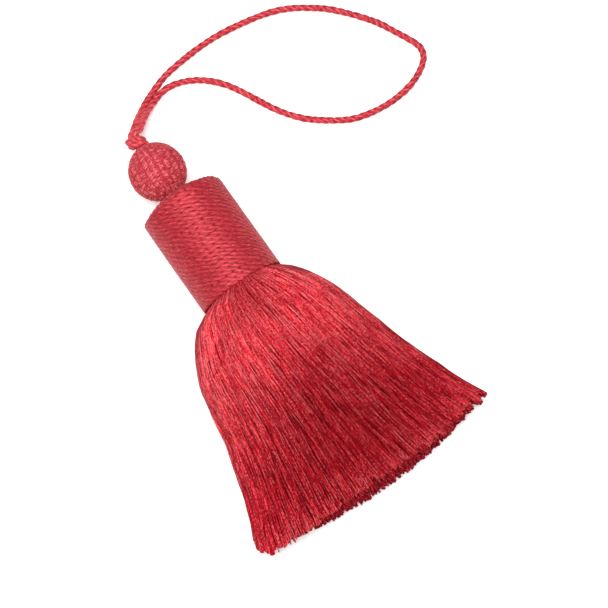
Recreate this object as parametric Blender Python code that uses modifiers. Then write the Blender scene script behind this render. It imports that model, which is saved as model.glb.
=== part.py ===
"""Key tassel lying on its side: a twisted cord loop, a knot, a ribbed bead, a wound head and a cut yarn skirt.

Metres, +Z up. The tassel's axis runs along Y, with the loop towards +Y and the skirt towards -Y.
The origin is on the surface that it lies on, under the middle of the head.
"""
import math
import random
from collections import namedtuple

import bmesh
import bpy
from mathutils import Vector

MM = 0.001
CLEARANCE = 0.3 * MM

# Block that takes the flats off the head and the bead where they rest
BLOCK_SIZE = 70 * MM
BLOCK_MIDDLE_Y = 12 * MM

# Head: a turned cylinder with a domed crown, wound with cord from end to end
HEAD_RADIUS = 15.1 * MM
HEAD_LENGTH = 36.5 * MM
HEAD_TURNS = 20
TURN_RELIEF = 0.35 * MM
CROWN_RISE = 4.5 * MM
CROWN_TURNS = 5
HEAD_SIDES = 30
HEAD_FLAT = 0.45 * MM
AXIS_HEIGHT = HEAD_RADIUS - HEAD_FLAT
HEAD_END = -HEAD_LENGTH / 2

# Bead: a ball with thread ribs from pole to pole, resting on a small flat spot
BEAD_RADIUS = 10.05 * MM
BEAD_RIBS = 23
BEAD_RINGS = 14
RIB_RELIEF = 0.3 * MM
BEAD_FLAT = 0.2 * MM
BEAD_CENTRE = Vector((-0.4 * MM, 33.0 * MM, BEAD_RADIUS - BEAD_FLAT))

# Knot: two tight turns of the doubled cord, flat where the two legs of the loop come out
KNOT_HALF_SIZES = Vector((3.5, 2.2, 2.6)) * MM
KNOT_CENTRE = BEAD_CENTRE + Vector((0, BEAD_RADIUS + CLEARANCE + KNOT_HALF_SIZES.y, 0))
KNOT_TURNS = 2
KNOT_RELIEF = 0.14
KNOT_SLANT = 0.25
KNOT_SEGMENTS = 20
KNOT_RINGS = 12
KNOT_FACE_Y = 47.0 * MM

# Loop: three-ply cord, its section a six-pointed ring that turns once in each lay
CORD_RADIUS = 1.05 * MM
CORD_VALLEY = 0.70 * MM
CORD_PLIES = 3
CORD_LAY = 8.4 * MM
CORD_STEPS_PER_LAY = 8
LYING_CORD_HEIGHT = CORD_RADIUS + 0.02 * MM
ROUTE_PARTS = 20

# Loop route in millimetres: out of the knot, down to the surface, round the loop and back to the knot.
# The third column is the cord's lift above where it lies on the surface.
LOOP_ROUTE = [
    (-1.5, 47.3, 8.8),
    (-1.2, 48.6, 8.6),
    (1.5, 51.1, 7.1),
    (4.6, 53.9, 5.1),
    (8.0, 56.5, 2.9),
    (12.6, 59.2, 0.8),
    (16.8, 61.1, 0.1),
    (21.9, 62.9, 0.0),
    (30.0, 64.1, 0.0),
    (38.7, 64.7, 0.0),
    (47.7, 64.4, 0.0),
    (64.6, 61.3, 0.0),
    (71.9, 58.4, 0.0),
    (78.4, 54.2, 0.0),
    (84.4, 49.2, 0.0),
    (94.5, 36.6, 0.0),
    (98.4, 29.0, 0.0),
    (101.3, 22.6, 0.0),
    (102.1, 19.4, 0.0),
    (101.2, 16.3, 0.0),
    (98.3, 13.5, 0.0),
    (92.5, 10.7, 0.0),
    (86.0, 9.4, 0.0),
    (79.4, 9.3, 0.0),
    (71.8, 10.5, 0.0),
    (65.9, 12.6, 0.0),
    (55.3, 20.1, 0.0),
    (50.9, 24.8, 0.0),
    (46.9, 30.7, 0.0),
    (40.7, 43.1, 0.0),
    (37.3, 48.6, 0.0),
    (32.3, 53.8, 0.0),
    (27.0, 57.1, 0.0),
    (21.7, 58.7, 0.0),
    (17.9, 58.6, 0.2),
    (14.9, 57.6, 0.8),
    (10.1, 54.9, 2.9),
    (6.6, 52.4, 5.1),
    (3.6, 49.7, 7.1),
    (1.2, 48.6, 8.6),
    (1.0, 47.3, 8.8),
]

# Skirt: locks of yarn fanned out and lying flat, each as long as the next. The lying level is the share of
# the side edge's height by which the underside has sunk at the middle, just short of the surface.
STRAND_LENGTH = 83.2 * MM
RIGHT_STRAND_EXTRA = 2.4 * MM
LEFT_STRAND_EXTRA = 3.6 * MM
LENGTH_SPREAD = 1.2 * MM
SKIRT_COLUMNS = 30
SKIRT_ROWS = 4.6
EDGE_JITTER = 0.12
JITTER_SEED = 7
LOCK_GAP = 0.34 * MM
ROW_GAP = 0.5 * MM
TIP_TAPER = 0.8
RIM_FLATNESS = 0.9
LYING_LEVEL = 0.989
MEASURING_STEP = 1 * MM
BACKING_SAMPLES = 12
BACKING_STATIONS = (0.3 * MM, 1.3 * MM, 2.6 * MM)
LOCK_STATIONS = (1.6 * MM, 4.5 * MM, 9.5 * MM, 18.0 * MM, 32.0 * MM, 52.0 * MM)

# Skirt outline in millimetres. Its underside falls with its side edges until all of it lies on the surface.
Station = namedtuple("Station", "distance half_width sideways side_height crown_height")
SKIRT_OUTLINE = [
    Station(0.3, 14.1, -0.3, 14.6, 28.5),
    Station(2.6, 19.0, -1.6, 13.1, 30.9),
    Station(7.0, 23.0, -1.6, 9.7, 32.6),
    Station(13.0, 26.7, -1.6, 5.8, 33.4),
    Station(19.0, 29.3, -1.6, 2.9, 33.0),
    Station(25.0, 30.9, -1.3, 1.0, 31.7),
    Station(34.0, 33.0, -0.8, 0.0, 29.0),
    Station(44.0, 35.6, -0.3, 0.0, 26.0),
    Station(54.0, 38.8, 0.0, 0.0, 23.0),
    Station(64.0, 42.6, 0.2, 0.0, 20.2),
    Station(74.0, 47.3, 0.5, 0.0, 17.6),
    Station(86.0, 52.0, 0.5, 0.0, 15.2),
]

# Colours, linear, of the dyed red yarn, and how matt its satin is
YARN_RED = (0.52, 0.018, 0.032, 1.0)
CORD_RED = (0.60, 0.030, 0.048, 1.0)
THREAD_RED = (0.56, 0.022, 0.038, 1.0)
CORD_ROUGHNESS = 0.6
YARN_ROUGHNESS = 0.55


def make_material(name, colour, roughness):
    material = bpy.data.materials.new(name)
    material.use_nodes = True
    shader = material.node_tree.nodes["Principled BSDF"]
    shader.inputs["Base Color"].default_value = colour
    shader.inputs["Roughness"].default_value = roughness
    shader.inputs["Metallic"].default_value = 0.0
    return material


def make_object(name, data, collection, material=None):
    piece = bpy.data.objects.new(name, data)
    collection.objects.link(piece)
    if material:
        data.materials.append(material)
    return piece


def make_mesh(name, builder):
    mesh = bpy.data.meshes.new(name)
    builder.to_mesh(mesh)
    builder.free()
    return mesh


def mark_cutter(piece):
    piece.hide_render = True
    piece.display_type = "WIRE"


def cut_or_join(piece, other, operation):
    modifier = piece.modifiers.new(operation.title(), "BOOLEAN")
    modifier.operation = operation
    modifier.solver = "EXACT"
    modifier.object = other


def clear_scene():
    for item in list(bpy.data.objects):
        bpy.data.objects.remove(item, do_unlink=True)


def make_floor_cutter(cutters):
    """A block under the surface that takes the flats off the head and the bead."""
    builder = bmesh.new()
    bmesh.ops.create_cube(builder, size=BLOCK_SIZE)
    bmesh.ops.translate(builder, verts=builder.verts, vec=(0, BLOCK_MIDDLE_Y, -BLOCK_SIZE / 2))
    cutter = make_object("floor_cutter", make_mesh("floor_cutter", builder), cutters)
    mark_cutter(cutter)
    return cutter


def head_profile():
    """Outer side of the wound head as (radius, height) points, from the crown's tip down to the lower end."""
    rim = HEAD_RADIUS - TURN_RELIEF
    points = [(0.0, HEAD_LENGTH / 2 + CROWN_RISE)]
    for step in range(1, 2 * CROWN_TURNS):
        radius = rim * step / (2 * CROWN_TURNS)
        height = HEAD_LENGTH / 2 + CROWN_RISE * (1 - (radius / rim) ** 2)
        points.append((radius, height - TURN_RELIEF * (step % 2 == 0)))
    for step in range(2 * HEAD_TURNS + 1):
        height = HEAD_LENGTH / 2 - HEAD_LENGTH * step / (2 * HEAD_TURNS)
        points.append((HEAD_RADIUS - TURN_RELIEF * (step % 2 == 0), height))
    points.append((0.0, -HEAD_LENGTH / 2))
    return points


def make_head(collection, floor_cutter):
    builder = bmesh.new()
    corners = [builder.verts.new((radius, 0.0, height)) for radius, height in head_profile()]
    for upper, lower in zip(corners, corners[1:]):
        builder.edges.new((upper, lower))
    head = make_object("head", make_mesh("head", builder), collection,
                       make_material("head_cord", CORD_RED, CORD_ROUGHNESS))
    head.location = (0.0, 0.0, AXIS_HEIGHT)
    head.rotation_euler = (-math.pi / 2, 0.0, 0.0)
    turning = head.modifiers.new("Turning", "SCREW")
    turning.axis = "Z"
    turning.angle = 2 * math.pi
    turning.steps = HEAD_SIDES
    turning.render_steps = HEAD_SIDES
    turning.use_merge_vertices = True
    turning.merge_threshold = 0.00001
    turning.use_smooth_shade = True
    cut_or_join(head, floor_cutter, "DIFFERENCE")


def make_bead(collection, floor_cutter):
    """A ball whose meridians are thread ribs, two columns of faces to each rib."""
    builder = bmesh.new()
    bmesh.ops.create_uvsphere(builder, u_segments=2 * BEAD_RIBS, v_segments=BEAD_RINGS, radius=BEAD_RADIUS)
    for corner in builder.verts:
        turn = math.atan2(corner.co.y, corner.co.x) * BEAD_RIBS
        width = math.hypot(corner.co.x, corner.co.y) / BEAD_RADIUS
        groove = RIB_RELIEF * width * (0.5 - 0.5 * math.cos(turn))
        corner.co *= 1 - groove / BEAD_RADIUS
    mesh = make_mesh("bead", builder)
    mesh.shade_smooth()
    bead = make_object("bead", mesh, collection, make_material("bead_thread", THREAD_RED, CORD_ROUGHNESS))
    bead.location = BEAD_CENTRE
    bead.rotation_euler = (-math.pi / 2, 0.0, 0.0)
    cut_or_join(bead, floor_cutter, "DIFFERENCE")


def make_knot(collection):
    """A rounded knot with its turns raised across it, cut flat where the legs of the loop leave it."""
    builder = bmesh.new()
    bmesh.ops.create_uvsphere(builder, u_segments=KNOT_SEGMENTS, v_segments=KNOT_RINGS, radius=1.0)
    for corner in builder.verts:
        slant = corner.co.y + KNOT_SLANT * corner.co.x
        groove = KNOT_RELIEF * (0.5 - 0.5 * math.cos(math.pi * KNOT_TURNS * (slant + 1)))
        corner.co *= 1 - groove * math.hypot(corner.co.x, corner.co.z)
        corner.co = Vector(axis * half for axis, half in zip(corner.co, KNOT_HALF_SIZES)) + KNOT_CENTRE
    everything = list(builder.verts) + list(builder.edges) + list(builder.faces)
    cut = bmesh.ops.bisect_plane(builder, geom=everything, plane_co=(0, KNOT_FACE_Y, 0), plane_no=(0, 1, 0),
                                 clear_outer=True)
    rim = [item for item in cut["geom_cut"] if isinstance(item, bmesh.types.BMEdge)]
    bmesh.ops.holes_fill(builder, edges=rim, sides=0)
    mesh = make_mesh("knot", builder)
    mesh.shade_smooth()
    make_object("knot", mesh, collection, make_material("knot_cord", CORD_RED, CORD_ROUGHNESS))


def smooth_route(points, step):
    """Points a step apart on a smooth curve (centripetal Catmull-Rom) through the given ones."""
    guides = [points[0] * 2 - points[1]] + points + [points[-1] * 2 - points[-2]]
    fine = []
    for before, start, end, after in zip(guides, guides[1:], guides[2:], guides[3:]):
        first = math.sqrt((start - before).length)
        second = math.sqrt((end - start).length)
        third = math.sqrt((after - end).length)
        leave = (start - before) / first - (end - before) / (first + second) + (end - start) / second
        arrive = (end - start) / second - (after - start) / (second + third) + (after - end) / third
        for part in range(ROUTE_PARTS):
            along = part / ROUTE_PARTS
            square, cube = along ** 2, along ** 3
            fine.append(start * (2 * cube - 3 * square + 1) + leave * second * (cube - 2 * square + along)
                        + end * (3 * square - 2 * cube) + arrive * second * (cube - square))
    fine.append(points[-1])
    reach = [0.0]
    for start, end in zip(fine, fine[1:]):
        reach.append(reach[-1] + (end - start).length)
    count = round(reach[-1] / step)
    even = []
    index = 0
    for number in range(count + 1):
        wanted = reach[-1] * number / count
        while index < len(fine) - 2 and reach[index + 1] < wanted:
            index += 1
        share = (wanted - reach[index]) / (reach[index + 1] - reach[index])
        even.append(fine[index].lerp(fine[index + 1], share))
    return even


def make_cord_section(cutters):
    """The cord's section, a closed ring with a point on each ply and one between each pair."""
    section = bpy.data.curves.new("cord_section", "CURVE")
    section.dimensions = "2D"
    spline = section.splines.new("POLY")
    spline.points.add(2 * CORD_PLIES - 1)
    spline.use_cyclic_u = True
    for number, point in enumerate(spline.points):
        angle = -math.pi * number / CORD_PLIES
        radius = CORD_VALLEY if number % 2 else CORD_RADIUS
        point.co = (radius * math.cos(angle), radius * math.sin(angle), 0.0, 1.0)
    guide = make_object("cord_section", section, cutters)
    mark_cutter(guide)
    return guide


def make_loop_cord(collection, cutters):
    lying = Vector((0, 0, LYING_CORD_HEIGHT))
    route = smooth_route([Vector(point) * MM + lying for point in LOOP_ROUTE], CORD_LAY / CORD_STEPS_PER_LAY)
    curve = bpy.data.curves.new("loop_cord", "CURVE")
    curve.dimensions = "3D"
    curve.bevel_mode = "OBJECT"
    curve.bevel_object = make_cord_section(cutters)
    curve.use_fill_caps = True
    spline = curve.splines.new("POLY")
    spline.points.add(len(route) - 1)
    for number, (point, place) in enumerate(zip(spline.points, route)):
        point.co = (*place, 1.0)
        point.tilt = -2 * math.pi * number / CORD_STEPS_PER_LAY
    make_object("loop_cord", curve, collection, make_material("loop_cord", CORD_RED, CORD_ROUGHNESS))


def outline_at(distance):
    """The skirt's outline at a distance from the head, in metres, read between the rows of its table."""
    place = distance / MM
    for near, far in zip(SKIRT_OUTLINE, SKIRT_OUTLINE[1:]):
        if place <= far.distance:
            break
    share = (place - near.distance) / (far.distance - near.distance)
    return Station(*((start + (end - start) * share) * MM for start, end in zip(near, far)))


def skirt_point(across, up, distance):
    """Place in the skirt: across from -1 to 1, up from the underside at -1 to the top at 1, along in metres."""
    outline = outline_at(distance)
    rim = math.sqrt(1 - RIM_FLATNESS * across ** 2)
    low = outline.side_height * (1 - LYING_LEVEL * rim)
    top = outline.side_height + (outline.crown_height - outline.side_height) * rim
    sideways = outline.sideways + outline.half_width * across
    return Vector((sideways, HEAD_END - distance, low + (top - low) * (up + 1) / 2))


def loft(builder, rings):
    """A closed body through rings of points with as many points each, from the head's side outwards."""
    loops = [[builder.verts.new(point) for point in ring] for ring in rings]
    size = len(loops[0])
    for near, far in zip(loops, loops[1:]):
        for corner in range(size):
            after = (corner + 1) % size
            builder.faces.new((near[corner], near[after], far[after], far[corner]))
    builder.faces.new(reversed(loops[0]))
    builder.faces.new(loops[-1])


def make_backing(collection, material):
    """The tied roots: a slab with the skirt's own outline, just under the head."""
    builder = bmesh.new()
    sweep = [2 * number / BACKING_SAMPLES - 1 for number in range(BACKING_SAMPLES + 1)]
    rings = []
    for distance in BACKING_STATIONS:
        under = [skirt_point(across, -1, distance) for across in sweep]
        over = [skirt_point(across, 1, distance) for across in reversed(sweep)]
        rings.append(under + over)
    loft(builder, rings)
    bmesh.ops.recalc_face_normals(builder, faces=builder.faces)
    return make_object("skirt", make_mesh("skirt", builder), collection, material)


def end_of_strand(across, up, length):
    """How far from the head a strand of this length reaches, followed along its own curve."""
    distance = BACKING_STATIONS[0]
    here = skirt_point(across, up, distance)
    run = 0.0
    while run < length:
        distance += MEASURING_STEP
        ahead = skirt_point(across, up, distance)
        run += (ahead - here).length
        here = ahead
    return distance - (run - length)


def lock_ring(cell, distance, share):
    """Four corners of a lock at a distance: its cell drawn in by half a gap all round, and by a share at its tip.

    The lowest row keeps its underside, so that it rests level on the surface.
    """
    left, right, low, high = cell
    corners = [(left, low, 1, 1), (right, low, -1, 1), (right, high, -1, -1), (left, high, 1, -1)]
    middle = skirt_point((left + right) / 2, (low + high) / 2, distance)
    ring = []
    for across, up, inward, lift in corners:
        corner = skirt_point(across, up, distance)
        sideways = middle.x + (corner.x + inward * LOCK_GAP / 2 - middle.x) * share
        height = middle.z + (corner.z + lift * ROW_GAP / 2 - middle.z) * share
        rests = up <= -1
        ring.append(Vector((sideways, corner.y, corner.z if rests else height)))
    return ring


def skirt_cells(chance):
    """Cells that share out the skirt's section, in columns whose rows are staggered like bricks."""
    edges = [2 * number / SKIRT_COLUMNS - 1 for number in range(SKIRT_COLUMNS + 1)]
    for number in range(1, SKIRT_COLUMNS):
        edges[number] += chance.uniform(-1, 1) * EDGE_JITTER * 2 / SKIRT_COLUMNS
    for number, (left, right) in enumerate(zip(edges, edges[1:])):
        rim = math.sqrt(1 - RIM_FLATNESS * ((left + right) / 2) ** 2)
        rows = max(2, round(SKIRT_ROWS * rim)) + number % 2
        levels = [2 * row / rows - 1 for row in range(rows + 1)]
        for row in range(1, rows):
            levels[row] += chance.uniform(-1, 1) * EDGE_JITTER * 2 / rows
        for low, high in zip(levels, levels[1:]):
            yield left, right, low, high


def make_skirt(collection, cutters):
    """All the locks, fused at their roots into the backing."""
    chance = random.Random(JITTER_SEED)
    builder = bmesh.new()
    for cell in skirt_cells(chance):
        across = (cell[0] + cell[1]) / 2
        up = (cell[2] + cell[3]) / 2
        extra = RIGHT_STRAND_EXTRA if across > 0 else LEFT_STRAND_EXTRA
        length = STRAND_LENGTH + extra * across ** 2 + chance.uniform(-1, 1) * LENGTH_SPREAD
        end = end_of_strand(across, up, length)
        rings = [lock_ring(cell, distance, 1.0) for distance in LOCK_STATIONS]
        rings.append(lock_ring(cell, end, TIP_TAPER))
        loft(builder, rings)
    bmesh.ops.recalc_face_normals(builder, faces=builder.faces)
    locks = make_object("skirt_locks", make_mesh("skirt_locks", builder), cutters)
    mark_cutter(locks)
    skirt = make_backing(collection, make_material("skirt_yarn", YARN_RED, YARN_ROUGHNESS))
    cut_or_join(skirt, locks, "UNION")


clear_scene()
tassel = bpy.data.collections.new("key_tassel")
cutting = bpy.data.collections.new("cutters")
bpy.context.scene.collection.children.link(tassel)
bpy.context.scene.collection.children.link(cutting)
floor = make_floor_cutter(cutting)
make_head(tassel, floor)
make_bead(tassel, floor)
make_knot(tassel)
make_loop_cord(tassel, cutting)
make_skirt(tassel, cutting)
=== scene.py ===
"""Key tassel in red viscose, lying on a pale surface: a loop of twisted cord, its knot, a ribbed bead, a
wound head and a skirt of cut yarn. Metres, +Z up, with the tassel's axis along Y and the loop towards +Y."""
import math

import bpy
import numpy as np
from mathutils import Matrix, Vector


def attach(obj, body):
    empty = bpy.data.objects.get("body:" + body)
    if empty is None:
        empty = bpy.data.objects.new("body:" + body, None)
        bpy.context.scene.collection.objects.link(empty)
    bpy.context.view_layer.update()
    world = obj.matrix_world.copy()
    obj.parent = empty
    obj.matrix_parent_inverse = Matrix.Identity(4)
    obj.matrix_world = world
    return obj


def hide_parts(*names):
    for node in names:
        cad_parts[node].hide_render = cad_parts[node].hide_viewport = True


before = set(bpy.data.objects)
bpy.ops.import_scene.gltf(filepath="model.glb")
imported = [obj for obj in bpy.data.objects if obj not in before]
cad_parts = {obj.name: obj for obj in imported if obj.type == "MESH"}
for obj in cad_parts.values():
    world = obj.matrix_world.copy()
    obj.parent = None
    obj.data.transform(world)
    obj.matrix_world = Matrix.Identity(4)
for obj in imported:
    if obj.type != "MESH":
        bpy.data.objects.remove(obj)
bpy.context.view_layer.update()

# Camera: it looks almost straight down, with the loop's end of the tassel towards the top left of the
# picture. The tassel's axis is turned from the picture's upright, and the view leans a little towards the
# skirt's cut end. Sizes are in millimetres here and below, and MM turns them to metres.
MM = 0.001
IMAGE_WIDTH = 608
FOCAL_LENGTH_PIXELS = 1500
SENSOR_WIDTH = 36.0
NEAREST_SEEN = 20 * MM
CAMERA_TURN = math.radians(35.153)
CAMERA_LEAN = math.radians(9.5)
CAMERA_DISTANCE = 504 * MM
CAMERA_TARGET = Vector((13.92, -34.01, 14.05)) * MM

upright = Vector((math.sin(CAMERA_TURN), math.cos(CAMERA_TURN), 0.0))
backward = Vector((0, 0, 1)) * math.cos(CAMERA_LEAN) - upright * math.sin(CAMERA_LEAN)
upward = upright * math.cos(CAMERA_LEAN) + Vector((0, 0, 1)) * math.sin(CAMERA_LEAN)
rightward = upward.cross(backward)

camera_data = bpy.data.cameras.new("camera")
camera_data.sensor_width = SENSOR_WIDTH
camera_data.lens = SENSOR_WIDTH * FOCAL_LENGTH_PIXELS / IMAGE_WIDTH
camera_data.clip_start = NEAREST_SEEN
camera = bpy.data.objects.new("camera", camera_data)
bpy.context.scene.collection.objects.link(camera)
camera.rotation_euler = Matrix((rightward, upward, backward)).transposed().to_euler()
camera.location = CAMERA_TARGET + backward * CAMERA_DISTANCE
bpy.context.scene.camera = camera


# Surface and light: a white acrylic table, lit a little from below so that shadows stay pale, under a
# softbox that hangs almost straight over the tassel, so that the yarn shines across the skirt's shoulder. A
# second one is wider and weaker. Only this section's sizes and places are in metres.
FLOOR_SIZE = 3.0
FLOOR_DROP = 0.05 * MM
TABLE_WHITE = "F9F9F8"
TABLE_ROUGHNESS = 0.9
TABLE_GLOW = 0.3
KEY_WATTS = 11.8
KEY_SIZE = 0.6
KEY_PLACE = CAMERA_TARGET + Vector((-0.06, 0.05, 0.9))
TOP_WATTS = 0.8
TOP_SIZE = 1.0
TOP_PLACE = CAMERA_TARGET + Vector((0, 0, 1.1))
SURROUND_STRENGTH = 0.06


def linear(code):
    """An sRGB hex colour as linear red, green, blue and alpha."""
    parts = [int(code[place:place + 2], 16) / 255 for place in (0, 2, 4)]
    return (*(part / 12.92 if part <= 0.04045 else ((part + 0.055) / 1.055) ** 2.4 for part in parts), 1.0)


def add_node(tree, kind, settings=None, sources=None):
    """Adds a node, sets its properties and sockets, and links its sockets from (node, output) pairs."""
    node = tree.nodes.new(kind)
    for name, value in (settings or {}).items():
        if isinstance(name, int) or name in node.inputs:
            node.inputs[name].default_value = value
        else:
            setattr(node, name, value)
    for name, (source, output) in (sources or {}).items():
        tree.links.new(source.outputs[output], node.inputs[name])
    return node


def new_material(name):
    """A material with its node tree, and the shader that every finish here ends in."""
    material = bpy.data.materials.new(name)
    material.use_nodes = True
    return material, material.node_tree, material.node_tree.nodes["Principled BSDF"]


def add_softbox(name, place, watts, size):
    """A square softbox that is turned towards the tassel."""
    data = bpy.data.lights.new(name, "AREA")
    data.energy = watts
    data.shape = "SQUARE"
    data.size = size
    light = bpy.data.objects.new(name, data)
    light.location = place
    light.rotation_euler = (place - CAMERA_TARGET).to_track_quat("Z", "Y").to_euler()
    bpy.context.scene.collection.objects.link(light)


bpy.ops.object.select_all(action="DESELECT")
bpy.ops.mesh.primitive_plane_add(size=FLOOR_SIZE, location=(0, 0, -FLOOR_DROP))
floor = bpy.context.object
floor.name = "acrylic_table"
# Opal acrylic sheet with a sanded face: no gloss, and an even glow from the lamps under it
acrylic, tree, shader = new_material("opal_acrylic")
shader.inputs["Base Color"].default_value = linear(TABLE_WHITE)
shader.inputs["Roughness"].default_value = TABLE_ROUGHNESS
shader.inputs["Emission Color"].default_value = linear(TABLE_WHITE)
shader.inputs["Emission Strength"].default_value = TABLE_GLOW
floor.data.materials.append(acrylic)

add_softbox("key_softbox", KEY_PLACE, KEY_WATTS, KEY_SIZE)
add_softbox("top_softbox", TOP_PLACE, TOP_WATTS, TOP_SIZE)
surround = bpy.data.worlds.new("white_studio")
surround.use_nodes = True
surround.node_tree.nodes["Background"].inputs["Color"].default_value = (1.0, 1.0, 1.0, 1.0)
surround.node_tree.nodes["Background"].inputs["Strength"].default_value = SURROUND_STRENGTH
bpy.context.scene.world = surround
bpy.context.scene.view_settings.view_transform = "Standard"


# Hanging loop: one length of three-ply viscose cord, plied to the right (Z twist), whose two ends go into
# the knot. Its legs come down to the knot side by side, and the rest lies on the surface. The third number
# of each place on its route is the lift above where the cord lies.
PLIES = 3
PLY_OFFSET = 0.37
PLY_RADIUS = 0.68
CORD_DIAMETER = 2 * (PLY_OFFSET + PLY_RADIUS)
CORD_LAY = 8.4
CORD_STEP = CORD_LAY / 20
CORD_POINTS = 24
FILAMENT_TWIST = 0.72
PRESSED_SQUARENESS = 8
# Painted light on the cord's crests and painted shade down between its plies, kept in the tone attribute
CREST_PAINTED_LIGHT = 0.06
GROOVE_SHADE = 0.19
# No cord is quite even: each wave of its lay and of its thickness has a size, a length over 2 pi and a start
LAY_WANDER = 0.25
LAY_WAVES = ((1.0, 3.7, 0.6), (0.7, 1.63, 0.0), (3.0, 150.0, 0.0))
THICKNESS_WAVES = ((0.03, 2.9, 0.0), (0.02, 1.31, 1.0))
LYING_CORD_HEIGHT = 1.07
RESTING_HEIGHT = 0.02
LOOP_WIDE = 1.18
# The legs are wholly pressed together up to the first distance from the knot, and have parted at the second
LEGS_PRESSED = (12.5, 20.5)
LEGS_CLOSER = 0.25
LEGS_WIDER = 0.06
# Painted light on the legs where they are pressed together near the knot
LEGS_PAINTED_LIGHT = 0.1
UP = np.array([0.0, 0.0, 1.0])
ROUTE_PARTS = 20
LOOP_ROUTE = [
    (-1.5, 47.3, 8.8), (-1.2, 48.6, 8.6), (1.5, 51.1, 7.1), (4.6, 53.9, 5.1), (8.0, 56.5, 2.9),
    (12.6, 59.2, 0.8), (16.8, 61.1, 0.1), (21.9, 62.9, 0.0), (30.0, 64.1, 0.0), (38.7, 64.7, 0.0),
    (47.7, 64.4, 0.0), (64.6, 61.3, 0.0), (71.9, 58.4, 0.0), (78.4, 54.2, 0.0), (84.4, 49.2, 0.0),
    (94.5, 36.6, 0.0), (98.4, 29.0, 0.0), (101.3, 22.6, 0.0), (102.1, 19.4, 0.0), (101.2, 16.3, 0.0),
    (98.3, 13.5, 0.0), (92.5, 10.7, 0.0), (86.0, 9.4, 0.0), (79.4, 9.3, 0.0), (71.8, 10.5, 0.0),
    (65.9, 12.6, 0.0), (55.3, 20.1, 0.0), (50.9, 24.8, 0.0), (46.9, 30.7, 0.0), (40.7, 43.1, 0.0),
    (37.3, 48.6, 0.0), (32.3, 53.8, 0.0), (27.0, 57.1, 0.0), (21.7, 58.7, 0.0), (17.9, 58.6, 0.2),
    (14.9, 57.6, 0.8), (10.1, 54.9, 2.9), (6.6, 52.4, 5.1), (3.6, 49.7, 7.1), (1.2, 48.6, 8.6),
    (1.0, 47.3, 8.8),
]


def fade(value, full, none, size=1.0):
    """A change that is whole at full and gone at none, even between them and steady beyond them."""
    return size * np.clip((none - value) / (none - full), 0, 1)


def with_waves(level, run, waves):
    """A level that rises and falls along a run, in waves of given size, length over 2 pi and start."""
    for size, length, start in waves:
        level = level + size * np.sin(run / length + start)
    return level


def run_along(lines):
    """How far along its line each point lies, for one line or for many with as many points each."""
    steps = np.linalg.norm(np.diff(lines, axis=-2), axis=-1)
    return np.concatenate([np.zeros(steps.shape[:-1] + (1,)), np.cumsum(steps, axis=-1)], axis=-1)


def even_steps(points, step):
    """The same line with points a step apart."""
    run = run_along(points)
    wanted = np.linspace(0.0, run[-1], round(run[-1] / step) + 1)
    return np.stack([np.interp(wanted, run, points[:, axis]) for axis in range(3)], axis=1)


def smooth_route(points, step):
    """Points a step apart on a smooth curve through the given ones.

    Each gap between them counts by its square root, which keeps the curve from looping where gaps differ.
    """
    points = np.array(points, dtype=float)
    guides = np.vstack([2 * points[0] - points[1], points, 2 * points[-1] - points[-2]])
    along = np.linspace(0, 1, ROUTE_PARTS, endpoint=False)[:, None]
    fine = []
    for before, start, end, after in zip(guides, guides[1:], guides[2:], guides[3:]):
        gaps = (start - before, end - start, after - end)
        first, second, third = (math.sqrt(np.linalg.norm(gap)) for gap in gaps)
        leave = (start - before) / first - (end - before) / (first + second) + (end - start) / second
        arrive = (end - start) / second - (after - start) / (second + third) + (after - end) / third
        fine.append(start * (2 * along ** 3 - 3 * along ** 2 + 1)
                    + leave * second * (along ** 3 - 2 * along ** 2 + along)
                    + end * (3 * along ** 2 - 2 * along ** 3)
                    + arrive * second * (along ** 3 - along ** 2))
    return even_steps(np.vstack(fine + [points[-1:]]), step)


def strand_frame(centres, outward):
    """Unit vectors across a strand: one to its side and one on its outward side, at right angles to it."""
    ahead = np.gradient(centres, axis=-2)
    ahead /= np.linalg.norm(ahead, axis=-1, keepdims=True)
    side = np.cross(outward, ahead)
    side /= np.linalg.norm(side, axis=-1, keepdims=True)
    return side, np.cross(ahead, side)


def ring_points(centres, outward, across, above):
    """Rings of points round centre lines, from their places across each strand and on its outward side. None
    goes lower than the tassel rests."""
    side, over = strand_frame(centres, outward)
    rings = (centres[..., None, :] + side[..., None, :] * across[..., None]
             + over[..., None, :] * above[..., None])
    rings[..., 2] = np.maximum(rings[..., 2], RESTING_HEIGHT)
    return rings


def make_strands(name, rings, strand, tone):
    """One mesh of closed tubes from rings[tube, station, point] in millimetres.

    The strand attribute holds where each point lies on its own strand, in millimetres: two numbers across it
    and one along it. The tone attribute holds how light it is painted: each strand's own tone, where it has
    one, with painted light and painted shade.
    """
    tubes, stations, points = rings.shape[:3]
    number = np.arange(tubes * stations * points).reshape(tubes, stations, points)
    beside = np.roll(number, -1, axis=2)
    corners = [number[:, :-1], beside[:, :-1], beside[:, 1:], number[:, 1:]]
    sides = np.stack(corners, axis=-1).reshape(-1, 4)
    faces = sides.tolist() + number[:, 0, ::-1].tolist() + number[:, -1].tolist()
    mesh = bpy.data.meshes.new(name)
    mesh.from_pydata((rings.reshape(-1, 3) * MM).tolist(), [], faces)
    mesh.shade_smooth()
    edge_points = np.empty(2 * len(mesh.edges), dtype=int)
    mesh.edges.foreach_get("vertices", edge_points)
    edge_stations = edge_points.reshape(-1, 2) // points % stations
    rim = (edge_stations[:, 0] == edge_stations[:, 1]) & np.isin(edge_stations[:, 0], (0, stations - 1))
    for attribute, kind, domain, field, values in (
            ("sharp_edge", "BOOLEAN", "EDGE", "value", rim),
            ("strand", "FLOAT_VECTOR", "POINT", "vector", strand.astype("f").ravel()),
            ("tone", "FLOAT", "POINT", "value", tone.astype("f").ravel())):
        mesh.attributes.new(attribute, kind, domain).data.foreach_set(field, values)
    piece = bpy.data.objects.new(name, mesh)
    bpy.context.scene.collection.objects.link(piece)
    return piece


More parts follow.
